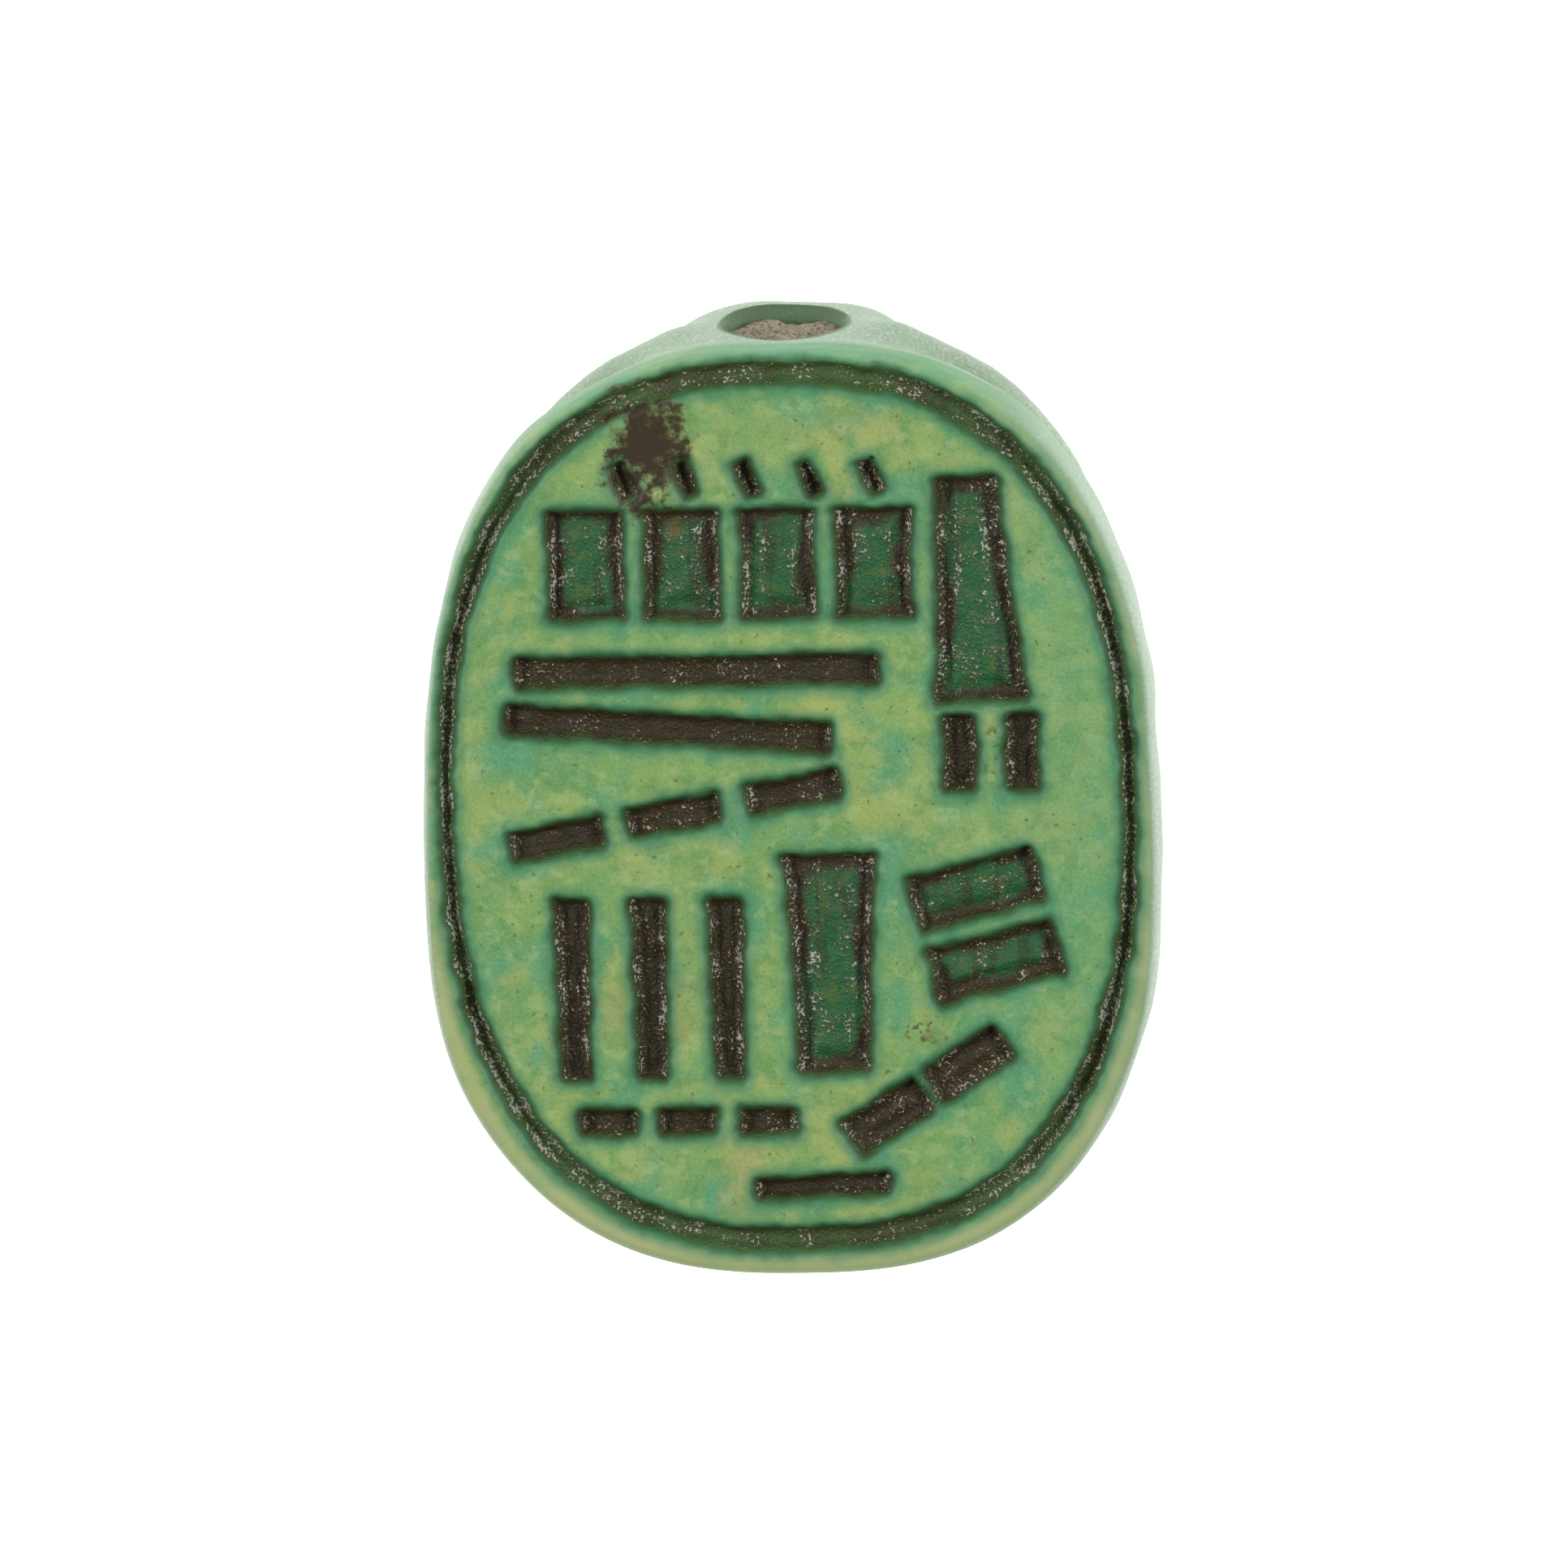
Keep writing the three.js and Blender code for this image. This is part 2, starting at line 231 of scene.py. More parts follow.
def stroke_distance(x, y, stroke):
    """How far points are outside a stroke. It swells a little at its ends, where the graver turned."""
    turn = stroke["angle"]
    along = (x - stroke["x"]) * math.cos(turn) + (y - stroke["y"]) * math.sin(turn)
    across = (y - stroke["y"]) * math.cos(turn) - (x - stroke["x"]) * math.sin(turn)
    half_length = stroke["length"] / 2
    share = np.clip(along / half_length, -1, 1)
    half_width = lerp(stroke["width"], stroke["end"], (share + 1) / 2) / 2
    half_width = half_width * (0.95 + 0.12 * share ** 8)
    corner = min(0.12, 0.3 * min(stroke["width"], stroke["end"]))
    out_along = np.abs(along) - half_length + corner
    out_across = np.abs(across) - half_width + corner
    outside = np.hypot(np.maximum(out_along, 0), np.maximum(out_across, 0))
    return outside + np.minimum(np.maximum(out_along, out_across), 0) - corner


def border_distance(x, y):
    """How far points are outside the border's groove."""
    angle = np.arctan2(y - BORDER["middle"][1], x - BORDER["middle"][0])
    radius = np.hypot(x - BORDER["middle"][0], y - BORDER["middle"][1])
    width = lerp(BORDER_WIDTH[0], BORDER_WIDTH[1], np.abs(np.sin(angle)))
    return np.abs(radius - radius_at(angle, BORDER, BORDER_POWER)) - width / 2


def cut_distance(x, y):
    """How far points are outside the nearest cut: less than 0 in a cut."""
    uneven = 0.03 * wobble(x, y, 0.4, 11) + 0.014 * wobble(x, y, 0.14, 12)
    nearest = border_distance(x, y)
    for stroke in strokes():
        nearest = np.minimum(nearest, stroke_distance(x, y, stroke))
    return nearest + uneven


LIP = 0.12  # how far outside a cut its worn lip starts
WALL = 0.12  # how far inside it the wall ends
BROAD = 0.8  # strokes wider than this were hollowed out in several passes
TOOL_WIDTH = 0.26  # of the graver that did so


def tool_marks(x, y):
    """The ridges that the graver left along the broad strokes' floors, from -1 to 1."""
    marks = np.zeros(x.shape)
    for stroke in strokes():
        if stroke["width"] > BROAD:
            turn = stroke["angle"]
            across = (y - stroke["y"]) * math.cos(turn) - (x - stroke["x"]) * math.sin(turn)
            wander = 0.25 * wobble(x, y, 0.9, 23)
            ridges = np.cos(2 * math.pi * (across / TOOL_WIDTH + wander))
            marks = np.where(stroke_distance(x, y, stroke) < 0, ridges, marks)
    return marks


def cut_depth(x, y, distance):
    """The depth of the cuts: steep walls under soft lips, and floors cut deepest along their edges."""
    wall = smooth(LIP, -WALL, distance)
    middle = smooth(-0.2, -0.42, distance)
    rough = 0.012 * wobble(x, y, 0.14, 21) + 0.014 * wobble(x, y, 0.3, 22) + 0.014 * tool_marks(x, y)
    floor = CUT_DEPTH - 0.08 * middle + rough * smooth(-0.02, -0.1, distance)
    return wall * floor


def edge_depth(inset):
    """The plate's rounded top edge: its depth at a distance in from the side."""
    share = np.clip(1 - inset / EDGE_REACH, 0, 1)
    return PLATE_BELLY * (1 - (1 - share ** 3) ** (1 / 3))


def plate_inset(depth):
    """How far in the plate's side is at a depth: rounded above and below its widest place."""
    top = np.clip(1 - depth / PLATE_BELLY, 0, 1)
    bottom = np.clip((depth - PLATE_BELLY) / (PLATE_DEPTH - PLATE_BELLY), 0, None)
    return EDGE_REACH * (1 - (1 - top ** 3) ** (1 / 3)) + 0.2 * bottom ** 5


# ---- The nets that the surface is made of ----
def square_net(cells):
    """A disc's points as a square net, evenly spaced round its edge: x and y within a unit circle."""
    steps = math.sqrt(2) * np.sin(math.pi / 4 * np.linspace(-1, 1, cells + 1))
    u, v = np.meshgrid(steps, steps, indexing="ij")
    return u * np.sqrt(1 - v * v / 2), v * np.sqrt(1 - u * u / 2)


def net_faces(cells):
    """The net's quads, each as the numbers of its corners."""
    index = np.arange((cells + 1) ** 2).reshape(cells + 1, cells + 1)
    corners = (index[:-1, :-1], index[1:, :-1], index[1:, 1:], index[:-1, 1:])
    return np.stack([corner.ravel() for corner in corners], axis=1)


def net_edge(cells):
    """The net's edge points in order, anticlockwise from -135 degrees."""
    index = np.arange((cells + 1) ** 2).reshape(cells + 1, cells + 1)
    return np.concatenate([index[:-1, 0], index[-1, :-1], index[:0:-1, -1], index[0, :0:-1]])


ANGLES = -0.75 * math.pi + 2 * math.pi * np.arange(ROUND_CELLS) / ROUND_CELLS
FACE_MARGIN = 0.06  # the face's net ends this far inside the plate's widest outline


def snap(x, y, level, reach):
    """Moves points that are near a contour of the cuts onto it, so that the cuts' edges run clean."""
    step = 0.01
    here = cut_distance(x, y)
    slope_x = (cut_distance(x + step, y) - here) / step
    slope_y = (cut_distance(x, y + step) - here) / step
    steepness = np.maximum(slope_x ** 2 + slope_y ** 2, 0.25)
    move = np.where(np.abs(here - level) < reach, (level - here) / steepness, 0)
    return x + slope_x * move, y + slope_y * move


def face_net():
    """The engraved seal face, out to just over its rounded edge."""
    net_x, net_y = square_net(FACE_CELLS)
    share, angle = np.hypot(net_x, net_y), np.arctan2(net_y, net_x)
    radius = radius_at(angle, PLATE)
    x = share * (radius - FACE_MARGIN) * np.cos(angle)
    y = share * (radius - FACE_MARGIN) * np.sin(angle)
    free = share < 0.985
    (x_along, x_across), (y_along, y_across) = np.gradient(net_x), np.gradient(net_y)
    cell = np.abs(x_along * y_across - x_across * y_along)
    reach = 0.024 * smooth(0.3, 0.75, cell / cell.max())  # less where the net's cells are slivers
    for level in (LIP * 0.6, -WALL * 0.8):
        snapped_x, snapped_y = snap(x, y, level, reach)
        x, y = np.where(free, snapped_x, x), np.where(free, snapped_y, y)
    inset = radius_at(np.arctan2(y, x), PLATE) - np.hypot(x, y)
    polish = 0.008 * wobble(x, y, 1.2, 31) * smooth(0.1, 0.5, inset)
    depth = edge_depth(inset) + cut_depth(x, y, cut_distance(x, y)) - np.minimum(polish, 0)
    return np.stack([x, y, HEIGHT - depth], axis=-1).reshape(-1, 3)


# ---- The beetle below the plate ----
def shell_share(depth):
    """How wide the shell is at a depth, as a share of its rim."""
    rise = np.clip((depth - SHELL_DEPTH) / (HEIGHT + WORN_OFF - SHELL_DEPTH), 0, 1)
    return (1 - rise ** (1 / SHELL_EDGE)) ** (1 / SHELL_POWER)


def leg_lines():
    """The legs' middle lines on the belly's wall, each a list of points from shoulder to foot."""
    for side in (-1, 1):
        for shoulder, foot, foot_depth, out in LEGS:
            share = np.linspace(0, 1, LEG_STEPS)
            angle = np.radians(lerp(shoulder, foot, share))
            reach = np.sqrt(share) * out * (1 + LEG_UNEVEN * side)
            radius = radius_at(angle, WAIST) - LEG_SUNK + reach
            x = side * radius * np.cos(angle)
            y = WAIST["middle"][1] + radius * np.sin(angle)
            yield np.stack([x, y, lerp(SHELL_DEPTH + 0.35, foot_depth, share)], axis=1)


def leg_distance(x, y, depth):
    """How far points are outside the nearest leg, and how far along that leg they are."""
    nearest = np.full(x.shape, 9.0)
    place = np.zeros(x.shape)
    points = np.stack([x, y, depth], axis=-1)
    for line in leg_lines():
        run = 0.0
        for start, end in zip(line, line[1:]):
            way = end - start
            length = np.linalg.norm(way)
            share = np.clip((points - start) @ way / length ** 2, 0, 1)
            distance = np.linalg.norm(points - start - share[..., None] * way, axis=-1)
            closer = distance < nearest
            nearest = np.where(closer, distance, nearest)
            place = np.where(closer, run + share * length, place)
            run += length
    return nearest - LEG_RADIUS, place


def head_distance(x, y, depth):
    """How far points are outside the head, a superellipse at every depth."""
    half_width = np.interp(depth, HEAD_LEVELS["depth"], HEAD_LEVELS["half_width"])
    front = np.interp(depth, HEAD_LEVELS["depth"], HEAD_LEVELS["front"])
    half_length = (front - HEAD_TAIL) / 2
    across = np.abs(x) / half_width
    along = np.abs(y - HEAD_TAIL - half_length) / half_length
    share = (across ** HEAD_POWER + along ** HEAD_POWER) ** (1 / HEAD_POWER)
    radial = (share - 1) * half_width
    top = depth - HEAD_LEVELS["depth"][-1]
    return np.maximum(radial, top)


def eye_distance(x, y, depth):
    """How far points are outside the eyes, one at each side of the head."""
    offsets = np.abs(x) - EYES["x"], (y - EYES["y"]) / EYES["length"], depth - EYES["depth"]
    return np.sqrt(sum(offset ** 2 for offset in offsets)) - EYES["radius"]


def body_distance(x, y, depth):
    """Roughly how far points are outside the beetle below the plate."""
    waist = np.maximum((norm(x, y, WAIST) - 1) * WAIST["half"][0], depth - SHELL_DEPTH - 0.5)
    shell_radial = (norm(x, y, SHELL) - shell_share(depth)) * SHELL["half"][0]
    shell = smooth_max(shell_radial, (SHELL_DEPTH - depth) * 0.9, 0.12)
    body = smooth_min(waist, shell, 0.1)
    if np.min(depth) < SHELL_DEPTH + 1:
        legs, place = leg_distance(x, y, depth)
        hatch = HATCH["depth"] * np.cos(place * 2 * math.pi / HATCH["pitch"])
        hatch = hatch * smooth(0.3, 0.8, place) * smooth(4.5, 3.5, y)
        body = smooth_min(body, legs + hatch, 0.1)
    head = smooth_min(head_distance(x, y, depth), eye_distance(x, y, depth), 0.25)
    return smooth_min(body, head, 0.5)


def line_distance(x, y, start, end):
    """How far points are from a straight line's nearest place."""
    way_x, way_y = end[0] - start[0], end[1] - start[1]
    along = (x - start[0]) * way_x + (y - start[1]) * way_y
    share = np.clip(along / (way_x ** 2 + way_y ** 2), 0, 1)
    return np.hypot(x - start[0] - share * way_x, y - start[1] - share * way_y)


def back_lines(x, y):
    """The depth of the lines cut into the back: behind the pronotum, between the wing cases, a nick
    at each shoulder, and across the head behind its front plate."""
    nowhere = 9  # millimetres, far from any line
    uneven = 0.03 * wobble(x, y, 2.0, 41)
    pronotum = np.abs(y - lerp(*PRONOTUM_TAIL, np.minimum((x / 5) ** 2, 1.3)) + uneven)
    middle = np.where(y < PRONOTUM_TAIL[0] + 0.05, np.abs(x + uneven), nowhere)
    plate = np.where(np.abs(x) < 1.9, np.abs(np.hypot(x, y - 4.2) - 1.95), nowhere)
    plate = np.where(y > 5.2, plate, nowhere)
    neck = np.abs(y - 5.05 + 0.06 * x ** 2) + smooth(1.6, 2.2, np.abs(x))
    line = np.minimum(np.minimum(pronotum, middle), np.minimum(plate, neck))
    lines = BACK_LINE["depth"] * smooth(BACK_LINE["reach"], BACK_LINE["floor"], line)
    nick = line_distance(np.abs(x), y, NICK["from"], NICK["to"])
    on_shell = smooth(1.0, 0.9, norm(x, y, SHELL))
    return lines + NICK["depth"] * on_shell * smooth(NICK["reach"], NICK["floor"], nick)


SIDE_SEARCH = np.linspace(0.5, -2.6, 79)  # from the plate's outline


def side_radius(angle, depth):
    """How far the sides are from the middle at an angle and a depth, searched from outside inwards."""
    outline = radius_at(angle, PLATE)
    radius = outline[:, None] + SIDE_SEARCH[None, :]
    x, y = radius * np.cos(angle)[:, None], radius * np.sin(angle)[:, None]
    values = body_distance(x, y, np.full(x.shape, depth))
    inside = values < 0
    first = np.argmax(inside, axis=1)
    rows = np.arange(len(angle))
    before, after = values[rows, first - 1], values[rows, first]
    share = before / (before - after)
    body = radius[rows, first - 1] + share * (SIDE_SEARCH[1] - SIDE_SEARCH[0])
    body = np.where(inside.any(axis=1), body, outline + SIDE_SEARCH[-1])
    plate = outline - plate_inset(depth)
    return smooth_max(plate, body, 0.12)


SIDE_DEPTHS = np.concatenate([
    np.linspace(0.22, 1.3, 9),
    (1.36, 1.4, 1.44, 1.49, 1.55, 1.62),
    np.linspace(1.72, 2.9, 11),
    (2.96, 3.02, 3.08, 3.15, 3.25, 3.38, 3.52, 3.7, 3.9, 4.1, 4.3),
])


def side_rings():
    """The rings of points round the sides, from the seal face's edge down to the back."""
    rings = []
    for depth in SIDE_DEPTHS:
        radius = side_radius(ANGLES, depth)
        x, y = radius * np.cos(ANGLES), radius * np.sin(ANGLES)
        if depth > SHELL_DEPTH:
            radius = radius - back_lines(x, y)
        uneven = 0.018 * wobble(ANGLES * 6.5, depth, 0.9, 51) * smooth(0.2, 0.6, depth)
        radius = radius + uneven
        rings.append(np.stack([radius * np.cos(ANGLES), radius * np.sin(ANGLES),
                               np.full(ROUND_CELLS, HEIGHT - depth)], axis=1))
    return rings


def back_depth(x, y, shallowest):
    """The depth of the back under each point, searched from below upwards."""
    depths = np.linspace(HEIGHT + WORN_OFF, shallowest - 0.3, 80)
    found = np.full(x.shape, shallowest)
    previous = body_distance(x, y, np.full(x.shape, depths[0] + 0.03))
    done = np.zeros(x.shape, bool)
    for high, low in zip(depths, depths[1:]):
        here = body_distance(x, y, np.full(x.shape, low))
        enters = (here < 0) & ~done
        share = np.clip(previous / np.where(previous == here, 1, previous - here), 0, 1)
        found = np.where(enters, lerp(high, low, share), found)
        done |= enters
        previous = here
    return found


def back_net(rim):
    """The shell's crown and the top of the head, inside the last of the side's rings."""
    net_x, net_y = square_net(BACK_CELLS)
    share, angle = np.hypot(net_x, net_y), np.arctan2(net_y, net_x)
    edge_radius = np.hypot(rim[:, 0], rim[:, 1])
    spread = np.exp(-0.5 * (np.arange(-30, 31) / 10) ** 2)
    inner_radius = np.convolve(np.tile(edge_radius, 3), spread / spread.sum(), "same")
    inner_radius = inner_radius[ROUND_CELLS:2 * ROUND_CELLS]
    turn = (angle - ANGLES[0]) % (2 * math.pi)
    radius, inner = (
        np.interp(turn, ANGLES - ANGLES[0], values, period=2 * math.pi)
        for values in (edge_radius, inner_radius)
    )
    radius = lerp(inner, radius, smooth(0.75, 1, share))
    x, y = share * radius * np.cos(angle), share * radius * np.sin(angle)
    shallowest = SIDE_DEPTHS[-1]
    depth = np.maximum(back_depth(x, y, shallowest), shallowest)
    depth = depth - back_lines(x, y) * smooth(1.0, 0.97, share)
    worn = HEIGHT - 0.012 * (1 + wobble(x, y, 0.5, 61)) * smooth(0.5, 2.0, np.hypot(x, y * 0.8))
    depth = np.minimum(depth, np.minimum(worn, HEIGHT))
    depth = np.where(share > 0.9999, shallowest, depth)
    return np.stack([x, y, HEIGHT - depth], axis=-1).reshape(-1, 3)


def scarab_mesh():
    """One closed surface: the face's net, the rings of the sides, and the back's net."""
    face = face_net()
    rings = side_rings()
    back = back_net(rings[-1])
    points = np.concatenate([face] + rings[:-1] + [back])
    faces = [tuple(quad) for quad in net_faces(FACE_CELLS)]
    first_ring = len(face)
    back_start = first_ring + ROUND_CELLS * (len(rings) - 1)
    edge = net_edge(FACE_CELLS)
    for i in range(ROUND_CELLS):
        following = (i + 1) % ROUND_CELLS
        a, b, c = edge[2 * i], edge[2 * i + 1], edge[(2 * i + 2) % len(edge)]
        low, low_next = first_ring + i, first_ring + following
        faces += [(a, low, b), (b, low, low_next), (b, low_next, c)]
    back_edge = net_edge(BACK_CELLS) + back_start
    for ring in range(len(rings) - 1):
        upper = first_ring + ring * ROUND_CELLS + np.arange(ROUND_CELLS)
        lower = upper + ROUND_CELLS if ring < len(rings) - 2 else back_edge
        for i in range(ROUND_CELLS):
            following = (i + 1) % ROUND_CELLS
            faces.append((upper[i], lower[i], lower[following], upper[following]))
    faces += [tuple(quad[::-1] + back_start) for quad in net_faces(BACK_CELLS)]
    return points, faces


def mesh_object(name, points, faces):
    """A piece made of points in millimetres."""
    mesh = bpy.data.meshes.new(name)
    mesh.from_pydata((np.asarray(points) * MM).tolist(), [], [[int(i) for i in face] for face in faces])
    mesh.update()
    piece = bpy.data.objects.new(name, mesh)
    bpy.context.collection.objects.link(piece)
    return piece


# ---- The cord hole ----
def bore_radius(y):
    """The drill's radius along the hole, which widens in a curve towards its two worn mouths."""
    head = (y - HEAD_LEVELS["front"][1] + MOUTH_LENGTH) / MOUTH_LENGTH
    tail = (WAIST["middle"][1] - WAIST["half"][1] + MOUTH_LENGTH - y) / MOUTH_LENGTH
    share = np.maximum(head, tail)
    curve = 1 - np.sqrt(1 - np.clip(0.9 * share, 0, 0.9) ** 2)
    return BORE_RADIUS + MOUTH_FLARE * curve + 0.5 * np.clip(share - 1, 0, 0.15)


def bore_cutter():
    """The cord hole as a solid, a little out of round, with its stations closer at the mouths."""
    around = 96
    stations = np.concatenate([np.linspace(-8.6, -6.0, 16), (-3, 0, 3), np.linspace(6.6, 8.6, 16)])
    angles = 2 * math.pi * np.arange(around) / around
    points, faces = [], []
    for y in stations:
        uneven = 1 + 0.03 * wobble(np.cos(angles) * 2, np.sin(angles) * 2 + y * 0.5, 1.5, 71)
        radius = bore_radius(y) * uneven
        points += [(r * math.cos(a), y, HEIGHT - BORE_DEPTH + r * math.sin(a))
                   for r, a in zip(radius, angles)]
    for station in range(len(stations) - 1):
        for i in range(around):
            a = station * around + i
            b = station * around + (i + 1) % around
            faces.append((a, a + around, b + around, b))
    faces.append(tuple(range(around)))
    faces.append(tuple(reversed(range(len(points) - around, len(points)))))
    return mesh_object("bore_cutter", points, faces)


def drill(piece):
    """Cuts the cord hole through the piece from head to tail."""
    cutter = bore_cutter()
    cut = piece.modifiers.new("cord_hole", "BOOLEAN")
    cut.operation = "DIFFERENCE"
    cut.solver = "MANIFOLD"
    cut.object = cutter
    ready = piece.evaluated_get(bpy.context.evaluated_depsgraph_get())
    drilled = bpy.data.meshes.new_from_object(ready)
    piece.modifiers.clear()
    drilled.materials.clear()
    piece.data = drilled
    bpy.data.objects.remove(cutter)


def store(mesh, name, values):
    """Stores a value for each point, which the glaze reads by its name."""
    layer = mesh.attributes.new(name, "FLOAT", "POINT")
    layer.data.foreach_set("value", np.asarray(values, dtype=np.float32))


def make_scarab():
    """The drilled scarab, with how far each point is from the cuts, the plate's side, the cord hole,
    the border and the broad strokes."""
    piece = mesh_object("glazed_scarab", *scarab_mesh())
    drill(piece)
    mesh = piece.data
    flat = np.empty(len(mesh.vertices) * 3, dtype=np.float32)
    mesh.vertices.foreach_get("co", flat)
    x, y, z = flat.reshape(-1, 3).T.astype(float) / MM
    on_face = smooth(0.75, 0.5, HEIGHT - z) * (norm(x, y, PLATE) < 1)
    store(mesh, "cut", np.clip(lerp(1.0, np.minimum(cut_distance(x, y), 1.0), on_face), -1, 1))
    store(mesh, "inset", np.clip(radius_at(np.arctan2(y, x), PLATE) - np.hypot(x, y), -1, 2))
    bore_distance = np.hypot(x, z - HEIGHT + BORE_DEPTH) - bore_radius(y)
    store(mesh, "hole", np.clip(bore_distance, -1, 1))
    store(mesh, "ring", smooth(0.3, 0.1, border_distance(x, y)) * on_face)
    broad = [stroke_distance(x, y, stroke) for stroke in strokes() if stroke["width"] > BROAD]
    store(mesh, "broad", np.clip(lerp(1.0, np.min(broad, axis=0), on_face), -1, 1))
    mesh.shade_smooth()
    return piece


# ---- Finishes ----
NOISE, RANGE = "ShaderNodeTexNoise", "ShaderNodeMapRange"
MATH, VECTOR_MATH = "ShaderNodeMath", "ShaderNodeVectorMath"
MIX, RGBA = "ShaderNodeMix", {"data_type": "RGBA"}
FACTOR, UNDER, OVER, MIXED = 0, 6, 7, 2  # the sockets of a Mix node in colour


def colour(code):
    """A colour given as sRGB hex, in the renderer's linear values."""
    channels = [int(code[i:i + 2], 16) / 255 for i in (1, 3, 5)]
    linear = [c / 12.92 if c <= 0.04045 else ((c + 0.055) / 1.055) ** 2.4 for c in channels]
    return (*linear, 1.0)


def add(tree, kind, inputs=(), **settings):
    """Adds a node with its settings. Its inputs come in order or by name, each of them a value, a
    socket to link, or a node to link by its first output."""
    node = tree.nodes.new(kind)
    for name, value in settings.items():
        setattr(node, name, value)
    for place, value in inputs.items() if isinstance(inputs, dict) else enumerate(inputs):
        if isinstance(value, bpy.types.Node):
            value = value.outputs[0]
        if isinstance(value, bpy.types.NodeSocket):
            tree.links.new(value, node.inputs[place])
        else:
            node.inputs[place].default_value = value
    return node


def paint(tree, under, code, value, start, full, most=1.0):
    """A colour laid over another: none of it where value is start, and the most where it is full."""
    share = add(tree, RANGE, (value, start, full, 0.0, most), interpolation_type="SMOOTHSTEP")
    mixed = add(tree, MIX, {FACTOR: share, UNDER: under, OVER: colour(code)}, **RGBA)
    return mixed.outputs[MIXED]


NOISES = {  # what breaks up the glaze: size in mm, detail, roughness
    "edge": (0.35, 6.0, 0.65),  # the raggedness of stains and of pooled glaze
    "patchy": (1.3, 3.0, 0.5),  # wear, and browning along the border
    "fine": (0.045, 3.0, 0.5),  # the stone's grain, as coarse as it needs to show
    "speck": (0.09, 2.0, 0.5),  # specks of iron
    "grit": (0.06, 3.0, 0.5),  # on the dulled sides
    "drift": (0.45, 2.0, 0.5),  # where glassy grains gather in the cuts
    "facet": (0.055, 2.0, 0.5),  # the grains
}
MOTTLES = (  # the glaze's clouds: colour, size in mm, the noise where they start and are full, most
    ("#78ad68", 2.6, 0.40, 0.62, 0.9),
    ("#adc06c", 1.3, 0.45, 0.67, 0.8),
    ("#58aa80", 1.0, 0.45, 0.68, 0.8),
    ("#c6c674", 0.8, 0.56, 0.72, 0.4),
    ("#5f9b59", 0.35, 0.46, 0.68, 0.55),
    ("#b4ce88", 0.25, 0.50, 0.70, 0.5),
)
TAN_PATCHES = (  # where the glaze is thin: colour, x, y, half width, half length, raggedness, most
    ("#b2ac68", -2.25, -3.2, 0.7, 0.5, 1.2, 0.6),
    ("#bfb56e", -0.85, -5.9, 0.35, 0.8, 1.2, 0.5),
    ("#b8b870", 0.9, 6.3, 0.8, 0.3, 1.2, 0.3),
)
STAINS = (  # as the tan patches: burial dirt, iron specks and pinholes
    ("#6e6438", -2.1, 5.95, 0.64, 0.9, 1.6, 0.7),
    ("#3a2817", -2.15, 6.0, 0.52, 0.8, 1.6, 0.9),
    ("#2b1d12", -2.15, 5.9, 0.42, 0.7, 3.5, 0.4),
    ("#7a5826", -1.72, 4.68, 0.15, 0.17, 0.8, 0.85),
    ("#1f3a1c", 1.52, 5.84, 0.04, 0.04, 0.3, 1.0),
    ("#1f3a1c", -2.38, -1.8, 0.035, 0.035, 0.3, 1.0),
)
STAIN_REACH = 0.4  # half the height that stains and patches are found in, mm
SPECK_DRIFTS = ((3.5, 1.0, 0.9, 0.7), (2.1, -3.6, 0.5, 0.4))  # x, y, half width, half length
POOLING = (  # the glaze's depth of colour at a cut's edge: colour, mm outside the cut, most
    ("#459066", 0.30, 0.06, 0.75),
    ("#2b6a44", 0.16, 0.0, 0.85),
    ("#4f7038", 0.10, -0.04, 0.85),
)


def glaze_fields(tree):
    """What the glaze's colours follow: the place in mm, the way the surface faces, the distances that
    the mesh stores, and the noises."""
    at = SimpleNamespace()
    place = add(tree, "ShaderNodeTexCoord").outputs["Object"]
    at.mm = add(tree, VECTOR_MATH, {0: place, "Scale": 1 / MM}, operation="SCALE")
    at.x, at.y, at.z = add(tree, "ShaderNodeSeparateXYZ", (at.mm,)).outputs
    normal = add(tree, "ShaderNodeNewGeometry").outputs["Normal"]
    across, _, at.upward = add(tree, "ShaderNodeSeparateXYZ", (normal,)).outputs
    at.sideways = add(tree, MATH, (across,), operation="ABSOLUTE")
    for name in ("cut", "inset", "hole", "ring", "broad"):
        stored = add(tree, "ShaderNodeAttribute", attribute_name=name)
        setattr(at, name, stored.outputs["Fac"])
    for name, (size, detail, roughness) in NOISES.items():
        inputs = {"Vector": at.mm, "Scale": 1 / size, "Detail": detail, "Roughness": roughness}
        setattr(at, name, add(tree, NOISE, inputs))
    return at


def spot_reach(tree, at, x, y, halves):
    """How far points are from a spot's middle on the seal face, as a share of its three half sizes."""
    offset = add(tree, VECTOR_MATH, (at.mm, (x, y, HEIGHT)), operation="SUBTRACT")
    scaled = add(tree, VECTOR_MATH, (offset, [1 / half for half in halves]), operation="MULTIPLY")
    return add(tree, VECTOR_MATH, (scaled,), operation="LENGTH").outputs["Value"]


def paint_spots(tree, at, shade, spots, softness):
    """Lays down spots with torn edges, each in its place on the seal face."""
    for code, x, y, half_width, half_length, ragged, most in spots:
        far = spot_reach(tree, at, x, y, (half_width, half_length, STAIN_REACH))
        torn = add(tree, RANGE, (at.edge, 0.3, 0.7, -ragged / 2, ragged / 2))
        reach = add(tree, MATH, (far, torn), operation="ADD")
        shade = paint(tree, shade, code, reach, 1 + softness, 1 - softness, most)
    return shade


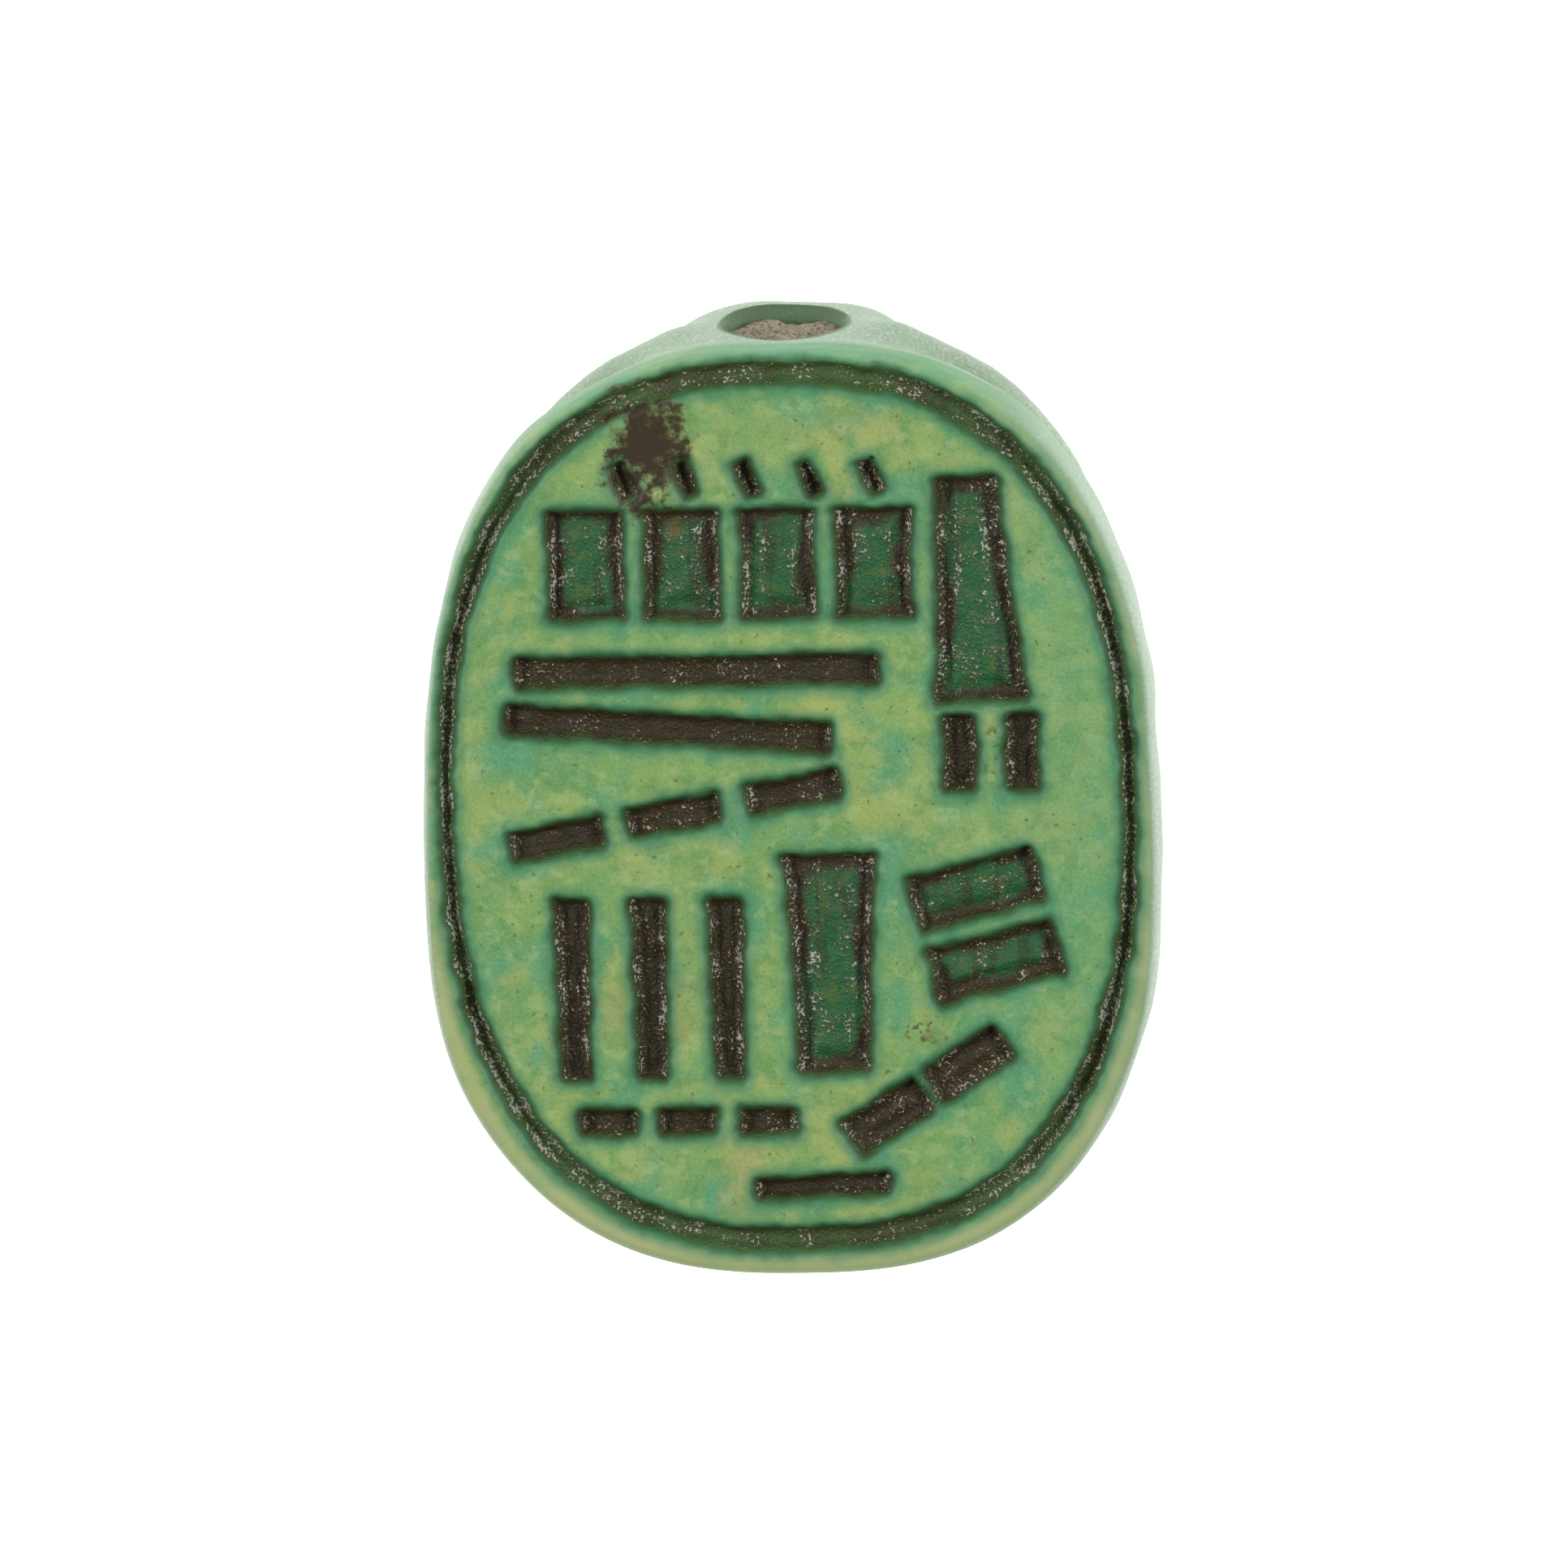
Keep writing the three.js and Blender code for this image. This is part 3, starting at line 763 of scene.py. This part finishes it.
def paint_specks(tree, at, shade):
    """Brown specks of iron, under 0.1 mm across: sparse, and crowded in the drifts with a brown haze
    between them, fading out from the middle of each."""
    shade = paint(tree, shade, "#5c6636", at.speck, 0.66, 0.74, 0.7)
    for x, y, half_width, half_length in SPECK_DRIFTS:
        far = spot_reach(tree, at, x, y, (half_width, half_length, 1))
        crowd = add(tree, RANGE, (far, 1.1, 0.3, 0.0, 0.8))
        haze = add(tree, RANGE, (far, 1.0, 0.2, 0.0, 0.5))
        shade = paint(tree, shade, "#5f5030", at.speck, 0.56, 0.64, crowd)
        shade = paint(tree, shade, "#8d8450", at.edge, 0.5, 0.62, haze)
    return shade


def clouded_flats(tree, at):
    """Milky clouds of green, greener to the right, with the stone's grain showing through. Each
    cloud's noise is a part of the same field, far from the others'."""
    shade = colour("#93b96a")
    for i, (code, size, start, full, most) in enumerate(MOTTLES):
        apart = add(tree, VECTOR_MATH, (at.mm, (40 * i + 3, 7, 0)), operation="ADD")
        inputs = {"Vector": apart, "Scale": 1 / size, "Detail": 4.0, "Distortion": 0.4}
        shade = paint(tree, shade, code, add(tree, NOISE, inputs), start, full, most)
    shade = paint_spots(tree, at, shade, TAN_PATCHES, 0.7)
    shade = paint(tree, shade, "#68b07a", at.x, 1.5, 6.0, 0.45)
    shade = paint(tree, shade, "#c6d49c", at.fine, 0.45, 0.75, 0.2)
    shade = paint(tree, shade, "#4c7d4a", at.fine, 0.55, 0.25, 0.2)
    return paint_specks(tree, at, shade)


def worn_rim(tree, at, shade):
    """The plate's rim: creamy where its ridge has worn, most at the tail, and greener on the right."""
    off_ridge = add(tree, MATH, (at.inset, 0.25), operation="SUBTRACT")
    off_ridge = add(tree, MATH, (off_ridge,), operation="ABSOLUTE")
    on_right = add(tree, RANGE, (at.x, 1.0, 5.0, 0.0, 0.7))
    at_tail = add(tree, RANGE, (at.y, -2.0, -7.0, 0.1, 0.75))
    in_patches = add(tree, RANGE, (at.patchy, 0.42, 0.58, 0.1, 0.75))
    shade = paint(tree, shade, "#478a5c", at.inset, 0.4, 0.1, on_right)
    shade = paint(tree, shade, "#bcc68c", off_ridge, 0.3, 0.06, at_tail)
    shade = paint(tree, shade, "#3a8554", at.z, HEIGHT - 0.1, HEIGHT - 0.4, 0.6)
    return paint(tree, shade, "#b9c48c", off_ridge, 0.22, 0.04, in_patches)


def dulled_sides_and_painted_sheen(tree, at, shade):
    """Below the plate and on its sides the glaze has dulled to a frosty, gritty grey-green, partly
    painted sheen: paler where the surface faces sideways, less where it faces down.
    """
    below = add(tree, RANGE, (at.z, HEIGHT - 0.8, HEIGHT - 1.2))
    # Painted sheen: the frost also goes on whatever faces sideways, and less of it where the surface
    # faces down.
    beside = add(tree, RANGE, (at.sideways, 0.35, 1.0))
    frost_and_sheen = add(tree, MATH, (below, beside), operation="MAXIMUM")
    most_by_facing = add(tree, RANGE, (at.upward, -0.1, -0.7, 0.85, 0.4))
    dark_grit = add(tree, RANGE, (frost_and_sheen, 0.0, 1.0, 0.0, 0.5))
    pale_grit = add(tree, RANGE, (frost_and_sheen, 0.0, 1.0, 0.0, 0.4))
    shade = paint(tree, shade, "#9eb19a", frost_and_sheen, 0.0, 1.0, most_by_facing)
    # Painted reflection: paler still where the surface faces straight sideways.
    shade = paint(tree, shade, "#b4c7b0", at.sideways, 0.7, 1.0, 0.7)
    shade = paint(tree, shade, "#71957a", at.grit, 0.52, 0.66, dark_grit)
    return paint(tree, shade, "#c9d5c6", at.grit, 0.46, 0.34, pale_grit)


def stained_cuts_and_shaded_hole(tree, at, shade):
    """The glaze pools against the cuts with an uneven edge. Iron has browned the strokes' floors, and
    the border's in places, but the middles of broad floors are green, with olive and dark streaks.
    The cord hole's inside gets painted shade."""
    uneven = add(tree, RANGE, (at.edge, 0.0, 1.0, -0.08, 0.08))
    outside = add(tree, MATH, (at.cut, uneven), operation="ADD")
    for code, start, full, most in POOLING:
        shade = paint(tree, shade, code, outside, start, full, most)
    in_border = add(tree, RANGE, (at.patchy, 0.42, 0.56, 0.1, 0.6))
    browned = add(tree, RANGE, (at.ring, 0.0, 1.0, 1.0, in_border))
    shade = paint(tree, shade, "#33290e", outside, 0.07, -0.09, browned)

    patches = add(tree, RANGE, (at.patchy, 0.35, 0.65, -0.1, 0.14))
    torn = add(tree, RANGE, (at.edge, 0.3, 0.7, -0.05, 0.05))
    inside = add(tree, MATH, (at.broad, patches), operation="ADD")
    inside = add(tree, MATH, (inside, torn), operation="ADD")
    olive = add(tree, RANGE, (inside, -0.14, -0.34, 0.0, 0.7))
    streaked = add(tree, RANGE, (inside, -0.1, -0.3, 0.0, 0.55))
    stretched = add(tree, VECTOR_MATH, (at.mm, (4, 0.5, 1)), operation="MULTIPLY")
    streaks = add(tree, NOISE, {"Vector": stretched, "Scale": 1.0, "Detail": 3.0})
    shade = paint(tree, shade, "#206a3c", inside, -0.12, -0.3, 0.9)
    shade = paint(tree, shade, "#55702f", at.edge, 0.5, 0.64, olive)
    shade = paint(tree, shade, "#2b2c18", streaks, 0.52, 0.64, streaked)
    shade = paint_spots(tree, at, shade, STAINS, 0.4)
    # Painted shade: darker green inside the cord hole.
    return paint(tree, shade, "#3f5d35", at.hole, 0.08, 0.0, 0.85)


def grains_and_painted_glints(tree, at):
    """Where glassy grit stands in the cuts, in specks under 0.1 mm across: in drifts, and thickest on
    the walls that face sideways and in the border. Its palest specks are painted glints of the side
    lamps."""
    grains_and_glints = at.facet
    for thicker in (
        (at.drift, 0.3, 0.7, -0.1, 0.1),
        (at.sideways, 0.1, 0.6, -0.02, 0.11),
        (at.ring, 0.0, 1.0, 0.0, 0.055),
    ):
        grains_and_glints = add(tree, MATH, (grains_and_glints, add(tree, RANGE, thicker)), operation="ADD")
    in_cut = add(tree, RANGE, (at.cut, 0.1, -0.03), interpolation_type="SMOOTHSTEP")
    return add(tree, MATH, (grains_and_glints, in_cut), operation="MULTIPLY")


def glazed_steatite():
    """Steatite under a copper-green alkaline glaze: milky and mottled on the flats, blue-green and
    thicker at the cuts' edges, dark brown with glassy grit and painted glints on their floors, dusty on
    the sides with painted sheen, and painted shade in the cord hole."""
    material = bpy.data.materials.new("glazed_steatite")
    material.use_nodes = True
    tree = material.node_tree
    at = glaze_fields(tree)
    shade = clouded_flats(tree, at)
    for coat in (worn_rim, dulled_sides_and_painted_sheen, stained_cuts_and_shaded_hole):
        shade = coat(tree, at, shade)
    grains_and_glints = grains_and_painted_glints(tree, at)
    shade = paint(tree, shade, "#5c4a2c", grains_and_glints, 0.52, 0.64, 0.5)
    # Painted glints: the palest specks stand for highlights of the lamps.
    shade = paint(tree, shade, "#d5d9cc", grains_and_glints, 0.66, 0.77, 0.75)

    # The grains' facets glint, and the flats have the soft lustre of handled glaze.
    bump = add(tree, "ShaderNodeBump", {"Height": grains_and_glints, "Distance": 0.045 * MM, "Strength": 0.9})
    dull = add(tree, RANGE, (grains_and_glints, 0.5, 0.64, 0.55, 0.15))
    shader = tree.nodes["Principled BSDF"]
    tree.links.new(shade, shader.inputs["Base Color"])
    tree.links.new(bump.outputs[0], shader.inputs["Normal"])
    tree.links.new(dull.outputs[0], shader.inputs["Roughness"])
    shader.inputs["IOR"].default_value = 1.5
    return material


def packed_earth():
    """Fine grey-brown burial earth, packed into the hole's mouth: dull, crumbly and pale-grained."""
    material = bpy.data.materials.new("packed_earth")
    material.use_nodes = True
    tree = material.node_tree
    place = add(tree, "ShaderNodeTexCoord").outputs["Object"]
    grain = add(tree, NOISE, {"Vector": place, "Scale": 1 / (0.06 * MM), "Detail": 4.0})
    share = add(tree, RANGE, (grain, 0.35, 0.65))
    inputs = {FACTOR: share, UNDER: colour("#5a5240"), OVER: colour("#a29a7e")}
    mixed = add(tree, MIX, inputs, **RGBA)
    bump = add(tree, "ShaderNodeBump", {"Height": grain, "Distance": 0.03 * MM})
    shader = tree.nodes["Principled BSDF"]
    tree.links.new(mixed.outputs[MIXED], shader.inputs["Base Color"])
    tree.links.new(bump.outputs[0], shader.inputs["Normal"])
    shader.inputs["Roughness"].default_value = 0.9
    return material


def make_earth():
    """A plug of earth in the hole, its crumbly front just inside the head-end mouth."""
    front, back, around, rings = 7.53, 6.2, 64, 12
    angles = 2 * math.pi * np.arange(around) / around
    points, faces = [(0, front - 0.05, HEIGHT - BORE_DEPTH)], []
    for ring in range(1, rings + 1):
        share = ring / rings
        radius = (bore_radius(front) + 0.03) * share
        x, z = radius * np.cos(angles), radius * np.sin(angles)
        y = front + 0.05 * wobble(x, z, 0.5, 81) + 0.03 * wobble(x, z, 0.15, 82) - 0.08 * share ** 4
        points += list(zip(x, y, HEIGHT - BORE_DEPTH + z))
    for y in (7.0, back):
        radius = bore_radius(y) + 0.03
        points += [(radius * math.cos(a), y, HEIGHT - BORE_DEPTH + radius * math.sin(a))
                   for a in angles]
    points.append((0, back - 0.1, HEIGHT - BORE_DEPTH))
    for i in range(around):
        following = (i + 1) % around
        faces.append((0, 1 + following, 1 + i))
        for ring in range(rings + 1):
            a, b = 1 + ring * around + i, 1 + ring * around + following
            faces.append((a, b, b + around, a + around))
        last = 1 + (rings + 1) * around
        faces.append((last + i, last + following, len(points) - 1))
    piece = mesh_object("earth_plug", points, faces)
    piece.data.shade_smooth()
    return piece


# ---- The object ----
scarab = make_scarab()
scarab.data.materials.append(glazed_steatite())
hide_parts("scarab_seal")
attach(scarab, "root")

earth = make_earth()
earth.data.materials.append(packed_earth())
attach(earth, "root")


# ---- The studio ----
def white_floor():
    """A white light table: matt white acrylic, lit enough to lose its shadows."""
    material = bpy.data.materials.new("white_acrylic")
    material.use_nodes = True
    shader = material.node_tree.nodes["Principled BSDF"]
    shader.inputs["Base Color"].default_value = colour("#f2f2f2")
    shader.inputs["Roughness"].default_value = 0.7
    shader.inputs["Emission Color"].default_value = (1, 1, 1, 1)
    shader.inputs["Emission Strength"].default_value = 0.95
    return material


def make_floor():
    half = 600
    corners = [(-half, -half, 0), (half, -half, 0), (half, half, 0), (-half, half, 0)]
    floor = mesh_object("floor", corners, [(0, 1, 2, 3)])
    floor.data.materials.append(white_floor())


def make_light(name, place, size, power):
    """A square soft light that faces the seal."""
    light = bpy.data.objects.new(name, bpy.data.lights.new(name, "AREA"))
    light.data.size = size * MM
    light.data.energy = power
    light.location = Vector(place) * MM
    light.rotation_euler = (-Vector(place)).to_track_quat("-Z", "Y").to_euler()
    bpy.context.collection.objects.link(light)


make_floor()
make_light("left_softbox", (-170, 40, 150), 50, 0.24)
make_light("right_softbox", (170, 40, 150), 50, 0.24)
make_light("head_softbox", (0, 190, 120), 60, 0.05)

world = bpy.data.worlds.new("studio")
world.use_nodes = True
world.node_tree.nodes["Background"].inputs["Color"].default_value = (1, 1, 1, 1)
world.node_tree.nodes["Background"].inputs["Strength"].default_value = 0.15
bpy.context.scene.world = world
bpy.context.scene.view_settings.view_transform = "Standard"
